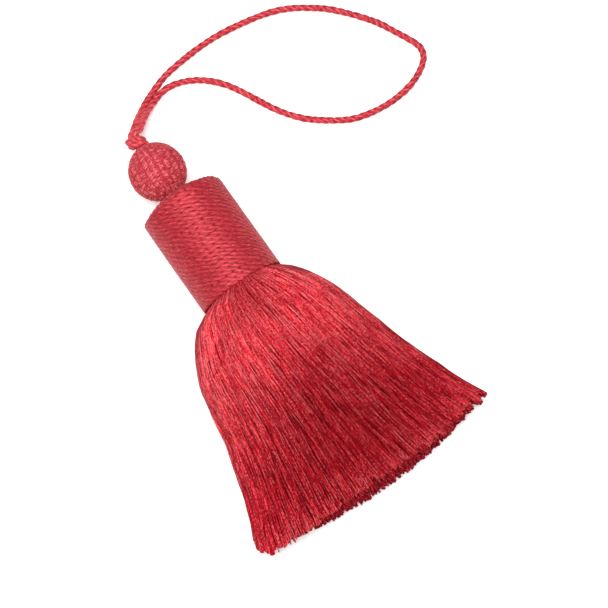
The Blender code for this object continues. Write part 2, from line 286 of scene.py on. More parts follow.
def make_cord(name, centres, outward, points=CORD_POINTS, wide=1.0, tall=1.0, pressed=0.0,
              crest_painted_light=CREST_PAINTED_LIGHT, groove_shade=GROOVE_SHADE):
    """A three-ply cord whose crests turn round its centre line once in each lay, a little unevenly.

    Wide and tall are how much wider and taller than usual it lies, and pressed is from 0, a round cord, to
    1, one pressed flat. The last two arguments are painted light on its crests and painted shade down in
    its grooves.
    """
    run = run_along(centres)
    turn = 2 * math.pi * np.arange(points) / points
    from_crest = ((turn * PLIES + math.pi) % (2 * math.pi) - math.pi) / PLIES
    ply_reach = np.sqrt(PLY_RADIUS ** 2 - (PLY_OFFSET * np.sin(from_crest)) ** 2)
    radius = PLY_OFFSET * np.cos(from_crest) + ply_reach
    raised = (radius - radius.min()) / (radius.max() - radius.min())
    wander = LAY_WANDER * with_waves(0, run, LAY_WAVES)
    twist = (2 * math.pi * run / CORD_LAY + wander)[:, None]
    thickness = with_waves(1, run, THICKNESS_WAVES)
    angle = turn + twist
    aside = (1 - pressed) * np.cos(angle) + pressed * 2 / math.pi * np.arcsin(np.cos(angle))
    squareness = 2 + PRESSED_SQUARENESS * pressed
    upwards = np.sign(np.sin(angle)) * np.sqrt(1 - np.abs(aside) ** squareness)
    across = radius * aside * (thickness * wide)[:, None]
    above = radius * upwards * (thickness * tall)[:, None]
    rings = ring_points(centres, outward, across, above)
    filament = turn + twist * (1 - FILAMENT_TWIST)
    along = np.broadcast_to(run[:, None], across.shape)
    strand = np.stack([radius * np.cos(filament), radius * np.sin(filament), along], axis=-1)
    # Painted light on the crests and painted shade down in the grooves
    tone = np.broadcast_to(crest_painted_light - groove_shade * (1 - raised), across.shape)
    return make_strands(name, rings[None], strand, tone)


# Twisted viscose cord: bright filament yarn with a silky sheen, with painted light on its crests and
# painted shade down between its plies. Its filaments are a few hundredths of a millimetre thick, too fine
# to show, so the streaks are drawn about 0.4 mm wide and stand for bundles of them, which lie a little
# more along the cord than its plies do.
CORD_DEEP = "971523"
CORD_MID = "C82B38"
CORD_LIGHT = "E6656B"
CORD_DEEP_AT = 0.3
CORD_MID_AT = 0.52
CORD_LIGHT_AT = 0.72
CORD_STREAKS_PER_MM = 2.3
CORD_STREAK_STRETCH = (1.0, 1.0, 0.3)
CORD_RELIEF_DEPTH = 0.12
CORD_RELIEF_SHARE = 0.5
CORD_SHINE = 0.3
CORD_ROUGHNESS = 0.6
CORD_GLOSS = 0.5
CORD_SHEEN = 0.05
CORD_SHEEN_TINT = "FFC8CC"

viscose_cord, tree, shader = new_material("twisted_viscose_cord")
on_strand = add_node(tree, "ShaderNodeAttribute", {"attribute_name": "strand"})
stretched = add_node(tree, "ShaderNodeMapping", {"Scale": CORD_STREAK_STRETCH},
                     {"Vector": (on_strand, "Vector")})
streaks = add_node(tree, "ShaderNodeTexNoise",
                   {"Scale": CORD_STREAKS_PER_MM, "Detail": 2.0, "Roughness": 0.6},
                   {"Vector": (stretched, "Vector")})
# The tone attribute: painted light on the crests and painted shade in the grooves
own_tone_and_painted_light = add_node(tree, "ShaderNodeAttribute", {"attribute_name": "tone"})
mixed = add_node(tree, "ShaderNodeMath", {"operation": "ADD"}, {0: (streaks, "Fac"), 1: (own_tone_and_painted_light, "Fac")})
dye_and_painted_light = add_node(tree, "ShaderNodeValToRGB", None, {"Fac": (mixed, "Value")})
dye_and_painted_light.color_ramp.elements[0].position = CORD_DEEP_AT
dye_and_painted_light.color_ramp.elements[0].color = linear(CORD_DEEP)
dye_and_painted_light.color_ramp.elements[1].position = CORD_LIGHT_AT
dye_and_painted_light.color_ramp.elements[1].color = linear(CORD_LIGHT)
dye_and_painted_light.color_ramp.elements.new(CORD_MID_AT).color = linear(CORD_MID)
relief = add_node(tree, "ShaderNodeBump",
                  {"Strength": CORD_RELIEF_SHARE, "Distance": CORD_RELIEF_DEPTH * MM},
                  {"Height": (streaks, "Fac")})
tree.links.new(dye_and_painted_light.outputs["Color"], shader.inputs["Base Color"])
tree.links.new(relief.outputs["Normal"], shader.inputs["Normal"])
shader.inputs["Metallic"].default_value = CORD_SHINE
shader.inputs["Roughness"].default_value = CORD_ROUGHNESS
shader.inputs["Specular IOR Level"].default_value = CORD_GLOSS
shader.inputs["Sheen Weight"].default_value = CORD_SHEEN
shader.inputs["Sheen Tint"].default_value = linear(CORD_SHEEN_TINT)

loop_line = smooth_route([(x, y, lift + LYING_CORD_HEIGHT) for x, y, lift in LOOP_ROUTE], CORD_STEP)
# Where the legs are pressed together at the knot, the cord has opened a little and fills the gap between
# them, and it gets painted light there, since the legs slope steeply down from the knot
from_knot = CORD_STEP * np.minimum(np.arange(len(loop_line)), np.arange(len(loop_line))[::-1])
pressed_together = fade(from_knot, *LEGS_PRESSED)
loop_line = loop_line - strand_frame(loop_line, UP)[0] * LEGS_CLOSER * pressed_together[:, None]
loop = make_cord("loop_of_twisted_cord", loop_line, UP, wide=LOOP_WIDE + LEGS_WIDER * pressed_together,
                 crest_painted_light=CREST_PAINTED_LIGHT + LEGS_PAINTED_LIGHT * pressed_together[:, None])
loop.data.materials.append(viscose_cord)
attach(loop, "root")
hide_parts("loop_cord")


# Knot: the two legs of the loop are tied round themselves and pulled down on the bead. Its turns are the
# same cord, wound slanting round the legs, and the legs go on through it into the bead.
KNOT_CENTRE = np.array([-0.4, 45.6, 9.85])
KNOT_TURNS = 2.1
KNOT_STATIONS = 160
KNOT_WIDTH = 2.45
KNOT_HEIGHT = 1.65
KNOT_PITCH = 1.85
KNOT_SLANT = -0.3
KNOT_START = math.radians(-100)
KNOT_END_SHARE = 0.15
KNOT_ENDS_DRAWN_IN = 0.5
KNOT_WIDE = 1.25
# Painted light on the knot's crests and painted shade down in its grooves
KNOT_CREST_PAINTED_LIGHT = 0.09
KNOT_GROOVE_SHADE = 0.14
LEG_WIDE = 1.15
# Each cord inside the knot, with its place across the knot at the top and at the foot
CORDS_IN_KNOT = (("left_leg_in_knot", -1.25, 0.5), ("right_leg_in_knot", 1.15, -0.6),
                 ("cord_through_knot", 0.0, 0.0))


def make_knot_line():
    """The middle of the knot's cord, round the legs, with its ends tucked in."""
    turn = np.linspace(0, KNOT_TURNS, KNOT_STATIONS)
    angle = KNOT_START + 2 * math.pi * turn
    from_middle = np.abs(turn - KNOT_TURNS / 2) / (KNOT_TURNS / 2)
    drawn_in = 1 - KNOT_ENDS_DRAWN_IN * fade(from_middle, 1.0, 1 - KNOT_END_SHARE)
    across = KNOT_WIDTH * np.cos(angle) * drawn_in
    above = KNOT_HEIGHT * np.sin(angle) * drawn_in
    along = KNOT_PITCH * (turn - KNOT_TURNS / 2) + KNOT_SLANT * across
    return even_steps(KNOT_CENTRE + np.stack([across, along, above], axis=1), CORD_STEP)


knot_line = make_knot_line()
knot = make_cord("knot_turns", knot_line, knot_line - KNOT_CENTRE, wide=KNOT_WIDE,
                 crest_painted_light=KNOT_CREST_PAINTED_LIGHT, groove_shade=KNOT_GROOVE_SHADE)
knot.data.materials.append(viscose_cord)
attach(knot, "root")
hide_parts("knot")

for name, top, foot in CORDS_IN_KNOT:
    route = [(top, 2.4, 0.2), (top * 0.85, 1.2, 0.3), (foot * 0.4, -0.6, 0.2), (foot, -2.6, -0.1)]
    leg_line = smooth_route([KNOT_CENTRE + place for place in route], CORD_STEP)
    leg = make_cord(name, leg_line, UP, wide=LEG_WIDE)
    leg.data.materials.append(viscose_cord)
    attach(leg, "root")


# Bead: a round mould covered with thread. Ribs run from pole to pole, and the thread is carried across each
# of them, stitch on stitch, so that every rib is a stack of short rounded stitches between two grooves.
BEAD_RADIUS = 10.15
BEAD_STRETCH = np.array([1.0, 1.03, 1.0])
BEAD_CENTRE = np.array([-0.36, 33.2, 9.95])
BEAD_RIBS = 23
LAST_LATITUDE = math.radians(76)
THREAD_THICKNESS = 0.84
STITCH_STATIONS = 7
STITCH_POINTS = 6
# Ribs wander from straight and even, in shares of a rib's width, and each wave of them has its own rate
RIB_BEND = 0.22
RIB_BEND_RATE = 2.6
RIB_BEND_SHIFT = 0.5
RIB_UNEVENNESS = 0.06
RIB_UNEVENNESS_RATE = 2.4
RIB_SLANT_RATE = 1.7
# How far stitches sink at their ends and how far they slant, and how much they differ from each other
STITCH_DEPTH = 0.38
STITCH_SINK = 0.58
STITCH_SINK_POWER = 2.2
STITCH_SLANT = math.radians(9)
STITCH_SLANT_SPREAD_DEGREES = 9
STITCH_ROW_SPREAD = 0.2
STITCH_SIDE_SPREAD = 0.03
STITCH_LIFT_SPREAD = 0.03
STITCH_REACH = (0.97, 1.12)
STITCH_THICKNESS = (1.05, 1.35)
STITCH_TAPER = 0.35
STITCH_FLATNESS = 0.5
# Painted light in the middle of each stitch and painted shade at its ends, down by the grooves
STITCH_MIDDLE_PAINTED_LIGHT = 0.4
STITCH_END_SHADE = 2.8
STITCH_PATTERN_SPREAD = 200
bead_chance = np.random.default_rng(3)


def make_stitches():
    """All the stitches of the bead. Part runs from -1 to 1 along each of them, from groove to groove."""
    rows = round(2 * LAST_LATITUDE * BEAD_RADIUS / THREAD_THICKNESS)
    rib, row = (grid.ravel() for grid in np.meshgrid(np.arange(BEAD_RIBS), np.arange(rows), indexing="ij"))
    count = rib.size
    begun = bead_chance.uniform(0, 1, BEAD_RIBS)[rib]
    place = row + begun + bead_chance.uniform(-STITCH_ROW_SPREAD, STITCH_ROW_SPREAD, count)
    latitude = -LAST_LATITUDE + 2 * LAST_LATITUDE * place / rows
    bend = RIB_BEND * np.sin(latitude * RIB_BEND_RATE + rib * RIB_BEND_SHIFT)
    uneven = RIB_UNEVENNESS * np.sin(rib * RIB_UNEVENNESS_RATE)
    rib_place = rib + uneven + bend + bead_chance.normal(0, STITCH_SIDE_SPREAD, count)
    longitude = 2 * math.pi * rib_place / BEAD_RIBS
    half = math.pi / BEAD_RIBS * bead_chance.uniform(*STITCH_REACH, count)[:, None]
    part = np.linspace(-1, 1, STITCH_STATIONS)
    own_slant = np.radians(bead_chance.normal(0, STITCH_SLANT_SPREAD_DEGREES, count))
    slant = STITCH_SLANT * np.sin(rib * RIB_SLANT_RATE) + own_slant
    width = half[:, 0] * np.cos(latitude)
    rise = width * np.tan(slant)
    latitudes = latitude[:, None] + rise[:, None] * part
    longitudes = longitude[:, None] + half * part
    own_thickness = bead_chance.uniform(*STITCH_THICKNESS, count)[:, None]
    thickness = THREAD_THICKNESS / 2 * own_thickness * (1 - STITCH_TAPER * part ** 4)
    sink = STITCH_SINK * np.abs(part) ** STITCH_SINK_POWER * np.cos(latitude)[:, None]
    height = BEAD_RADIUS - THREAD_THICKNESS * STITCH_DEPTH - sink
    height = height + bead_chance.normal(0, STITCH_LIFT_SPREAD, count)[:, None]
    level = np.cos(latitudes)
    outward = np.stack([level * np.cos(longitudes), np.sin(latitudes), level * np.sin(longitudes)], axis=-1)
    centres = BEAD_CENTRE + outward * height[..., None] * BEAD_STRETCH
    turn = 2 * math.pi * np.arange(STITCH_POINTS) / STITCH_POINTS
    across = thickness[..., None] * np.cos(turn)
    above = thickness[..., None] * np.sin(turn) * STITCH_FLATNESS
    rings = ring_points(centres, outward, across, above)
    start = bead_chance.uniform(0, STITCH_PATTERN_SPREAD, count)
    along = start[:, None, None] + (part * width[:, None] * BEAD_RADIUS)[..., None]
    strand = np.stack(np.broadcast_arrays(across, above, along), axis=-1)
    # Each stitch's own tone, with painted light in its middle and painted shade towards its ends
    own_tone_and_painted_light = bead_chance.normal(0, 1, count)[:, None] + STITCH_MIDDLE_PAINTED_LIGHT
    tone = np.broadcast_to((own_tone_and_painted_light - STITCH_END_SHADE * part ** 2)[..., None], across.shape)
    return make_strands("bead_stitches", rings, strand, tone)


# Viscose thread of the bead and yarn of the skirt: softly twisted and satin, with short glints where
# filaments turn up to the light, which are painted highlights in its colour and also bumps in its relief.
# Real glints are as narrow as a filament, too fine to show, so they are drawn about 0.8 mm wide. Longer
# streaks, of about 7 mm, are mixed in.
THREAD_DEEP = "AC2F3A"
THREAD_MID = "C8454F"
THREAD_LIGHT = "E47277"
YARN_DEEP_AT = 0.4
YARN_MID_AT = 0.5
YARN_LIGHT_AT = 0.62
GLINTS_PER_MM = 1.25
LONG_STREAKS_PER_MM = (1.5, 1.5, 0.14)
LONG_STREAKS_PLACE = (5.0, 3.0, 0.0)
LONG_STREAKS_SHARE = 0.4
YARN_RELIEF_SHARE = 0.6


def make_yarn_finish(name, deep, middle, light, glint_length, tone_share, relief_depth, shine, roughness,
                     gloss):
    """Satin yarn. Its colour, as painted highlights, and its relief, relief_depth deep, follow glints that
    are glint_length long.

    Its colour also follows the tone attribute, each strand's own tone with painted light and painted shade,
    by tone_share. Shine is how much of the light is thrown back in the yarn's own colour, as packed
    filaments do, and gloss how much of it is thrown back white.
    """
    material, tree, shader = new_material(name)
    on_strand = add_node(tree, "ShaderNodeAttribute", {"attribute_name": "strand"})
    glint_place = add_node(tree, "ShaderNodeMapping",
                           {"Scale": (GLINTS_PER_MM, GLINTS_PER_MM, 1 / glint_length)},
                           {"Vector": (on_strand, "Vector")})
    glints = add_node(tree, "ShaderNodeTexNoise", {"Scale": 1.0, "Detail": 1.5, "Roughness": 0.6},
                      {"Vector": (glint_place, "Vector")})
    long_place = add_node(tree, "ShaderNodeMapping",
                          {"Location": LONG_STREAKS_PLACE, "Scale": LONG_STREAKS_PER_MM},
                          {"Vector": (on_strand, "Vector")})
    long_streaks = add_node(tree, "ShaderNodeTexNoise", {"Scale": 1.0, "Detail": 1.0},
                            {"Vector": (long_place, "Vector")})
    both = add_node(tree, "ShaderNodeMix", {"Factor": LONG_STREAKS_SHARE},
                    {"A": (glints, "Fac"), "B": (long_streaks, "Fac")})
    # The tone attribute: each strand's own tone with painted light and painted shade
    own_tone_and_painted_light = add_node(tree, "ShaderNodeAttribute", {"attribute_name": "tone"})
    mixed = add_node(tree, "ShaderNodeMath", {"operation": "MULTIPLY_ADD", 1: tone_share},
                     {0: (own_tone_and_painted_light, "Fac"), 2: (both, "Result")})
    dye_and_painted_light = add_node(tree, "ShaderNodeValToRGB", None, {"Fac": (mixed, "Value")})
    dye_and_painted_light.color_ramp.elements[0].position = YARN_DEEP_AT
    dye_and_painted_light.color_ramp.elements[0].color = linear(deep)
    dye_and_painted_light.color_ramp.elements[1].position = YARN_LIGHT_AT
    dye_and_painted_light.color_ramp.elements[1].color = linear(light)
    dye_and_painted_light.color_ramp.elements.new(YARN_MID_AT).color = linear(middle)
    relief = add_node(tree, "ShaderNodeBump", {"Strength": YARN_RELIEF_SHARE, "Distance": relief_depth * MM},
                      {"Height": (glints, "Fac")})
    tree.links.new(dye_and_painted_light.outputs["Color"], shader.inputs["Base Color"])
    tree.links.new(relief.outputs["Normal"], shader.inputs["Normal"])
    shader.inputs["Metallic"].default_value = shine
    shader.inputs["Roughness"].default_value = roughness
    shader.inputs["Specular IOR Level"].default_value = gloss
    return material


bead_thread = make_yarn_finish("soft_viscose_thread", THREAD_DEEP, THREAD_MID, THREAD_LIGHT,
                               glint_length=0.5, tone_share=0.03, relief_depth=0.12, shine=0.2,
                               roughness=0.55, gloss=0.12)
stitches = make_stitches()
stitches.data.materials.append(bead_thread)
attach(stitches, "root")
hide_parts("bead")

# The round under the stitches: the same thread laid over the mould, matt and seen only down in the grooves.
# Its colours are deeper than the stitches', as painted shade in the grooves. Its grain is drawn about 1 mm
# wide, coarser than the thread's filaments, so that it shows there.
# Painted shade: the ground's colours, deeper than the stitches'
GROUND_DEEP_PAINTED_SHADE = "A02430"
GROUND_LIGHT_PAINTED_SHADE = "C43E49"
GROUND_GRAINS_PER_MM = 0.9
GROUND_ROUGHNESS = 0.7
GROUND_GLOSS = 0.05

bpy.ops.object.select_all(action="DESELECT")
bpy.ops.mesh.primitive_uv_sphere_add(segments=52, ring_count=26, location=Vector(BEAD_CENTRE) * MM,
                                     radius=(BEAD_RADIUS - THREAD_THICKNESS / 2) * MM)
bead_ground = bpy.context.object
bead_ground.scale = BEAD_STRETCH
bpy.ops.object.transform_apply(location=True, rotation=True, scale=True)
bpy.ops.object.shade_smooth()
bead_ground.name = "bead_ground"
ground_thread, tree, shader = new_material("laid_viscose_thread")
spot = add_node(tree, "ShaderNodeTexCoord")
grain = add_node(tree, "ShaderNodeTexNoise", {"Scale": GROUND_GRAINS_PER_MM / MM, "Detail": 2.0},
                 {"Vector": (spot, "Object")})
dye_and_painted_light = add_node(tree, "ShaderNodeValToRGB", None, {"Fac": (grain, "Fac")})
dye_and_painted_light.color_ramp.elements[0].color = linear(GROUND_DEEP_PAINTED_SHADE)
dye_and_painted_light.color_ramp.elements[1].color = linear(GROUND_LIGHT_PAINTED_SHADE)
tree.links.new(dye_and_painted_light.outputs["Color"], shader.inputs["Base Color"])
shader.inputs["Roughness"].default_value = GROUND_ROUGHNESS
shader.inputs["Specular IOR Level"].default_value = GROUND_GLOSS
bead_ground.data.materials.append(ground_thread)
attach(bead_ground, "root")


# Head: a turned mould wound with one length of the same cord, from the skirt's end up the cylinder and in a
# spiral over the domed crown. Wound tight, the cord is flattened, each turn closes on the next, and its
# plies nearly line up from turn to turn. It rests on a narrow flat.
HEAD_RADIUS = 15.1
HEAD_LENGTH = 36.5
HEAD_END = -HEAD_LENGTH / 2
AXIS_HEIGHT = 14.65
CROWN_RISE = 4.5
CROWN_LEAN = 0.25
CORD_RADIUS = CORD_DIAMETER / 2
WINDING_PITCH = 1.86
WINDING_STEP = 0.5
WINDING_POINTS = 18
WINDING_WIDE = 1.38
WINDING_TALL = 0.58
WINDING_PROUD = 0.2
WINDING_RADIUS = HEAD_RADIUS - CORD_RADIUS * WINDING_TALL + WINDING_PROUD
# The turns aren't quite evenly spaced: each wave of them has a size, a length in turns and a start
WINDING_WAVES = ((0.07, 1 / 1.37, 0.4), (0.05, 1 / 3.11, 0.0))
# Painted light and shade of the winding: its crests are painted a little darker, and its grooves darker
# still as painted shade
WINDING_CREST_PAINTED_LIGHT = -0.02
WINDING_GROOVE_SHADE = 0.17
SIDE_STATIONS = 60
CROWN_STATIONS = 80
WOUND_STATIONS = 9000
SPIRAL_END = 0.9
MOULD_FILL = 0.36
MOULD_FLAT = 0.5
MOULD_RIM = 0.8


def make_winding_line():
    """The middle of the wound cord, up the cylinder and in over the crown, a little unevenly."""
    low = HEAD_END + CORD_RADIUS
    high = -HEAD_END - CORD_RADIUS
    inward = np.linspace(1, SPIRAL_END / WINDING_RADIUS, CROWN_STATIONS)
    upwards = np.linspace(low, high, SIDE_STATIONS)
    cylinder = np.stack([np.full(SIDE_STATIONS, WINDING_RADIUS), upwards], axis=1)
    crown = np.stack([WINDING_RADIUS * inward, high + CROWN_RISE * (1 - inward ** 2)], axis=1)
    profile = np.vstack([cylinder, crown[1:]])
    run = run_along(profile)
    turn = np.linspace(0, run[-1] / WINDING_PITCH, WOUND_STATIONS)
    radius = np.interp(turn * WINDING_PITCH, run, profile[:, 0])
    height = np.interp(turn * WINDING_PITCH, run, profile[:, 1])
    angle = 2 * math.pi * turn
    height = with_waves(height, angle, WINDING_WAVES)
    line = np.stack([radius * np.cos(angle), height, AXIS_HEIGHT + radius * np.sin(angle)], axis=1)
    return even_steps(line, WINDING_STEP)


winding_line = make_winding_line()
# Over the crown the cord's outward side leans towards the bead
from_axis = winding_line - (0.0, 0.0, AXIS_HEIGHT)
over_crown = np.maximum(winding_line[:, 1] + HEAD_END + CORD_RADIUS, 0)
from_axis[:, 1] = CROWN_LEAN * over_crown * WINDING_RADIUS
winding = make_cord("head_winding", winding_line, from_axis, WINDING_POINTS, WINDING_WIDE, WINDING_TALL,
                    pressed=1.0, crest_painted_light=WINDING_CREST_PAINTED_LIGHT, groove_shade=WINDING_GROOVE_SHADE)
winding.data.materials.append(viscose_cord)
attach(winding, "root")
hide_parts("head")

# The mould under the winding, covered with a first layer of the bead's thread, whose deeper colours are
# painted shade between the turns
bpy.ops.object.select_all(action="DESELECT")
bpy.ops.mesh.primitive_cylinder_add(vertices=64, radius=(WINDING_RADIUS + MOULD_FILL) * MM,
                                    depth=(HEAD_LENGTH - 2 * CORD_RADIUS) * MM,
                                    location=(0, 0, AXIS_HEIGHT * MM), rotation=(math.pi / 2, 0, 0))
bpy.ops.object.transform_apply(location=True, rotation=True, scale=True)
mould = bpy.context.object
mould.name = "head_mould"
rounding = mould.modifiers.new("rounded_rims", "BEVEL")
rounding.width = MOULD_RIM * MM
rounding.segments = 3
bpy.ops.object.modifier_apply(modifier=rounding.name)
for point in mould.data.vertices:
    point.co.z = max(point.co.z, MOULD_FLAT * MM)
mould.data.materials.append(ground_thread)
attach(mould, "root")


# Skirt: nearly five thousand ends of two-ply viscose yarn, tied under the head, fanned out and cut level.
# They puff out round the head's rim, lie in loose locks, and the lowest rest on the surface. Each is drawn
# as one single yarn, a little thicker than the real ones so that it shows.
ROOT_DISTANCE = -1.0
# The outline's columns are the distance from the head, half the width, how far it lies to one side, and the
# heights of the side edge and of the crown
SKIRT_OUTLINE = np.array([
    (ROOT_DISTANCE, 12.4, -0.1, 14.65, 28.4), (0.3, 14.1, -0.3, 14.6, 29.6), (2.6, 19.0, -1.6, 13.1, 30.7),
    (7.0, 23.0, -1.6, 9.7, 31.8), (13.0, 26.7, -1.6, 5.8, 32.9), (19.0, 29.3, -1.6, 2.9, 33.5),
    (25.0, 30.9, -1.3, 1.0, 33.2), (34.0, 33.0, -0.8, 0.0, 31.6), (44.0, 35.6, -0.3, 0.0, 28.5),
    (54.0, 38.8, 0.0, 0.0, 24.8), (64.0, 42.6, 0.2, 0.0, 21.0), (74.0, 47.3, 0.5, 0.0, 17.8),
    (90.0, 53.6, 0.5, 0.0, 14.4)])
OUTLINE_STEP = 0.5
SOFTENED_STEPS = 9
# Across, the skirt's top is an arc and its underside is nearly level. At the sides its layers draw closer
RIM_FLATNESS = 0.9
RIM_LIMIT = 1.08
LYING_LEVEL = 0.989
SIDE_ROUNDING = 0.3
SIDE_ROUNDED = (1.0, 0.75)

outline_steps = np.arange(ROOT_DISTANCE, SKIRT_OUTLINE[-1, 0], OUTLINE_STEP)
softening = np.hanning(SOFTENED_STEPS)
softening /= softening.sum()
outline_columns = []
for column in SKIRT_OUTLINE[:, 1:].T:
    measured = np.interp(outline_steps, SKIRT_OUTLINE[:, 0], column)
    padded = np.pad(measured, SOFTENED_STEPS // 2, mode="edge")
    outline_columns.append(np.convolve(padded, softening, mode="valid"))


def skirt_place(across, up, distance):
    """Places in the skirt: across from -1 to 1, up from the underside at -1 to the top at 1, and at
    distances from the head."""
    columns = (np.interp(distance, outline_steps, column) for column in outline_columns)
    half, sideways, side_height, crown = columns
    rim = np.sqrt(1 - RIM_FLATNESS * np.minimum(across ** 2, RIM_LIMIT))
    low = side_height * (1 - LYING_LEVEL * rim)
    top = side_height + (crown - side_height) * rim
    rounding = 1 - SIDE_ROUNDING * fade(np.abs(across), *SIDE_ROUNDED) ** 2
    height = low + (top - low) * (up * rounding + 1) / 2
    return np.stack([sideways + half * across, HEAD_END - distance, height], axis=-1)


SPREAD_STEPS = 401
SPREAD_DISTANCE = 16.0
skirt_chance = np.random.default_rng(11)


def spread_evenly(count, reach):
    """Places across the skirt, even along its curved top near the head."""
    sweep = np.linspace(-reach, reach, SPREAD_STEPS)
    over = skirt_place(sweep, np.ones(SPREAD_STEPS), np.full(SPREAD_STEPS, SPREAD_DISTANCE))
    run = run_along(over)
    share = (np.arange(count) + skirt_chance.uniform(0, 1, count)) / count
    return np.interp(share * run[-1], run, sweep)


# Locks, in which yarns gather on their way down. LOCK_SHIFT is in shares of a lock's width, other places and
# drifts across are in shares of half the skirt's width, and lifts and LOCK_ROUND are in millimetres
LOCKS = 84
LOCK_REACH = 1.02
LOCK_WIDTHS = (0.4, 1.8)
LOCK_SHIFT = 0.3
LOCK_DRIFT = 0.012
LOCK_LIFT = 0.2
LOCK_ROUND = 0.3
LOCK_ROUND_LIMIT = 2.0
GATHER = (0.1, 0.55)
GATHER_POWER = 1.3
OWN_DRIFT = 0.008
STRAY_DRIFT = 0.04
SWEEP = 0.1

lock_edges = np.cumsum(skirt_chance.uniform(*LOCK_WIDTHS, LOCKS))
lock_places = (lock_edges - lock_edges[0]) / (lock_edges[-1] - lock_edges[0])
lock_centres = 2 * LOCK_REACH * lock_places - LOCK_REACH

# Teeth of the cut edge, which run through all layers and show more in the lower ones
TEETH = 60
TEETH_REACH = 1.05
TOOTH_DEPTH = 1.6
TOOTH_DEPTHS = (0.3, 1.0)
TOOTH_SHIFT = 0.005
UPPER_TOOTH = 0.8
LOWER_TOOTH = 1.25
UPPER_FROM = 0.5

tooth_sides = 2 * TEETH + 1
tooth_shifts = skirt_chance.uniform(-TOOTH_SHIFT, TOOTH_SHIFT, tooth_sides)
tooth_places = np.linspace(-TEETH_REACH, TEETH_REACH, tooth_sides) + tooth_shifts
tooth_cuts = TOOTH_DEPTH * skirt_chance.uniform(*TOOTH_DEPTHS, tooth_sides) * (np.arange(tooth_sides) % 2)

# The cut, in millimetres: how much longer or shorter yarns are at the sides, on top and at the corners. The
# first two numbers of a change are places, across or up: where it is whole, and where it is gone
STRAND_LENGTH = 83.2
RIGHT_STRAND_EXTRA = 2.4
LEFT_STRAND_EXTRA = 3.6
ON_TOP = (0.85, 0.75)
TOP_EXTRA = -0.4
TOP_LEFT_EXTRA = (-0.7, -0.5, 2.4)
CORNER_CUT = 3.5
CORNER_CUT_AT = (-1.0, -0.8)
CORNER_SPIKES = (0.87, 0.72, 1.4)
CORNER_SPIKE_WIDTH = 0.08
CORNER_SPIKE_START = 0.965
OWN_CUT = 0.12


def cut_lengths(across, up, landed, tuft_cut):
    """How long each yarn is, by where it leaves the head and how high, where it lands and its tuft's cut."""
    extra = np.where(across > 0, RIGHT_STRAND_EXTRA, LEFT_STRAND_EXTRA) * np.minimum(np.abs(across), 1) ** 2
    extra = extra - CORNER_CUT * fade(landed, *CORNER_CUT_AT) ** 2
    spikes = np.sin(2 * math.pi * (landed - CORNER_SPIKE_START) / CORNER_SPIKE_WIDTH)
    extra = extra + spikes * fade(landed, *CORNER_SPIKES)
    top_extra = (TOP_EXTRA + fade(across, *TOP_LEFT_EXTRA)) * fade(up, *ON_TOP)
    teeth = np.interp(landed, tooth_places, tooth_cuts) * np.where(up > UPPER_FROM, UPPER_TOOTH, LOWER_TOOTH)
    own_cut = skirt_chance.normal(0, OWN_CUT, across.size)
    return STRAND_LENGTH + extra + top_extra + tuft_cut - teeth + own_cut


# Each yarn sways in waves of given length and size, in millimetres, which grow to their size past the rim
SWAY_WAVES = ((37.0, 0.22), (23.0, 0.16), (14.0, 0.10))
SWAY_STRETCH = (0.8, 1.25)
SWAY_GROWN = (12.0, 0.0)
SWAY_POWER = 1.5
SWAY_UPWARD = 0.8


def yarn_sway(distance):
    """How far each yarn sways to the side and upwards, at distances from the head."""
    sway = np.zeros(distance.shape + (2,))
    for wave, size in SWAY_WAVES:
        phase = skirt_chance.uniform(0, 2 * math.pi, (len(distance), 1, 2))
        length = wave * skirt_chance.uniform(*SWAY_STRETCH, (len(distance), 1, 1))
        sway += size * np.sin(2 * math.pi * distance[..., None] / length + phase)
    return sway * fade(distance, *SWAY_GROWN)[..., None] ** SWAY_POWER


# How much lighter or darker the yarns are painted, where 1 is how much single yarns differ. Strays, locks
# and single yarns have tones of their own; the rest is painted light and painted shade: painted light at
# the head and at the sides near it, a painted highlight over the shoulder, painted light on the tips of the
# top yarns, and painted shade low down, at the sides there and on the tips under the lip. The first two
# numbers of a change are distances from the head, or from the tip for TIP_FADE: where it is whole, and
# where it is gone
ROOT_LIGHT = (5.6, 19.6, 0.9)
SHOULDER_LIGHT = (27.0, 57.0, 2.2)
LOW_SHADE = 1.4
EDGE_LIGHT = (15.0, 50.0, 2.0)
EDGE_SHADE = (60.0, 10.0, 1.2)
EDGE_POWER = 4
TIP_FADE = (0.0, 5.0)
TIP_LIGHT = 2.5
TIP_SHADE = 1.5
STRAY_TONE = 1.5
LOCK_TONE = 0.25
OWN_TONE_LEAST = 0.3
OWN_TONE_MORE = (45.0, 5.0, 0.7)


def yarn_tone_and_painted_light(across, up, distance, from_tip, own_tone_and_painted_light):
    """How light each yarn is painted along its length: its own tone, with painted light at the head, a
    painted highlight over the shoulder, painted light at the sides near the head and at the tips on top,
    and painted shade low down, at the sides there and at the tips under the lip."""
    root = fade(distance, *ROOT_LIGHT) + fade(distance, *SHOULDER_LIGHT) - LOW_SHADE
    edge = (fade(distance, *EDGE_LIGHT) - fade(distance, *EDGE_SHADE)) * across[:, None] ** EDGE_POWER
    tip = fade(from_tip, *TIP_FADE) * np.where(fade(up, *ON_TOP) > 0, TIP_LIGHT, -TIP_SHADE)[:, None]
    own = own_tone_and_painted_light[:, None] * (OWN_TONE_LEAST + fade(distance, *OWN_TONE_MORE))
    return own + tip + root + edge


YARN_RADIUS = 0.28
INSIDE_YARN_RADIUS = 0.36
YARN_RADII = (0.85, 1.2)
YARN_POINTS = 3
YARN_PATTERN_SPREAD = 500
# Yarns are measured at every millimetre, and their rings are closest near the head, where they bend most
MEASURED_REACH = 89.0
MEASURED_STATIONS = 91
STATION_POWER = 1.5
# Tufts of yarns that end together: how many there are in one, and how much tufts differ, in millimetres
SMALL_TUFT = (6, 0.2)
LIP_TUFT = (30, 0.8)
TUFT_MIXING = 0.6
TUFT_CLOSENESS = 0.5
TUFT_POWER = 4


